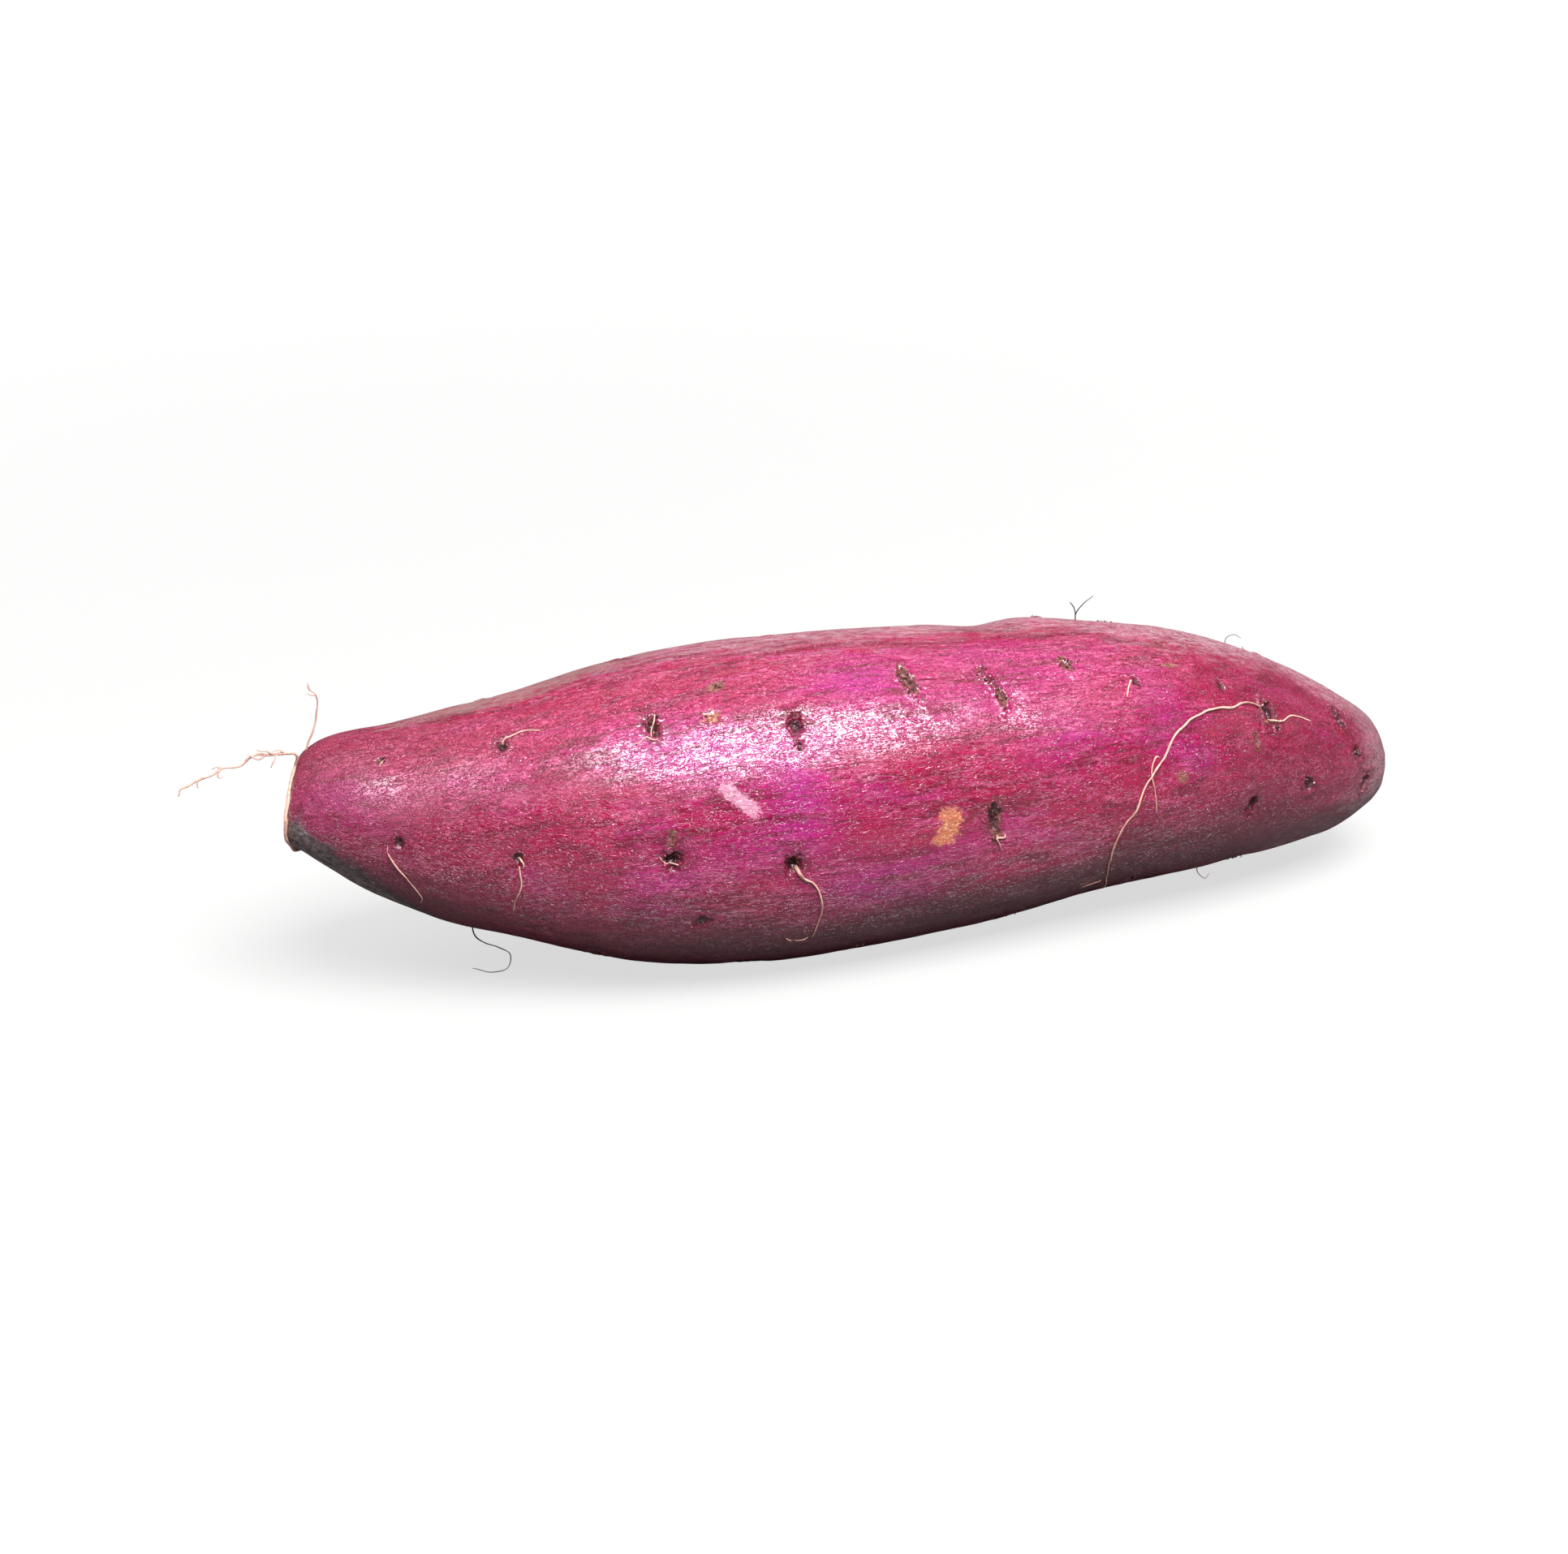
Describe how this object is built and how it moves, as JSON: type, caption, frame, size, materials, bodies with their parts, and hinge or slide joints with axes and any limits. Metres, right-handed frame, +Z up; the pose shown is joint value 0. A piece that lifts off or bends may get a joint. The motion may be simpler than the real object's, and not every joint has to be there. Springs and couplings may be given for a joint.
{
  "type": "sweet potato",
  "caption": "Whole raw purple-skinned sweet potato: a long tapered tuber with root scars and thin dried rootlets, lying on its side.",
  "frame": {"origin": "middle of the small flat resting spot underneath, below the tuber's weight", "axes": "+X along the tuber from the blunt end with the tail root to the rounded end, +Z up, -Y the side seen in the picture"},
  "size_m": [0.2178, 0.0567, 0.0541],
  "materials": {
    "skin": null,
    "rootlet": "matt dry tan root fibre"
  },
  "bodies": {
    "root": {"sweet_potato": "skin"}
  },
  "joints": []
}
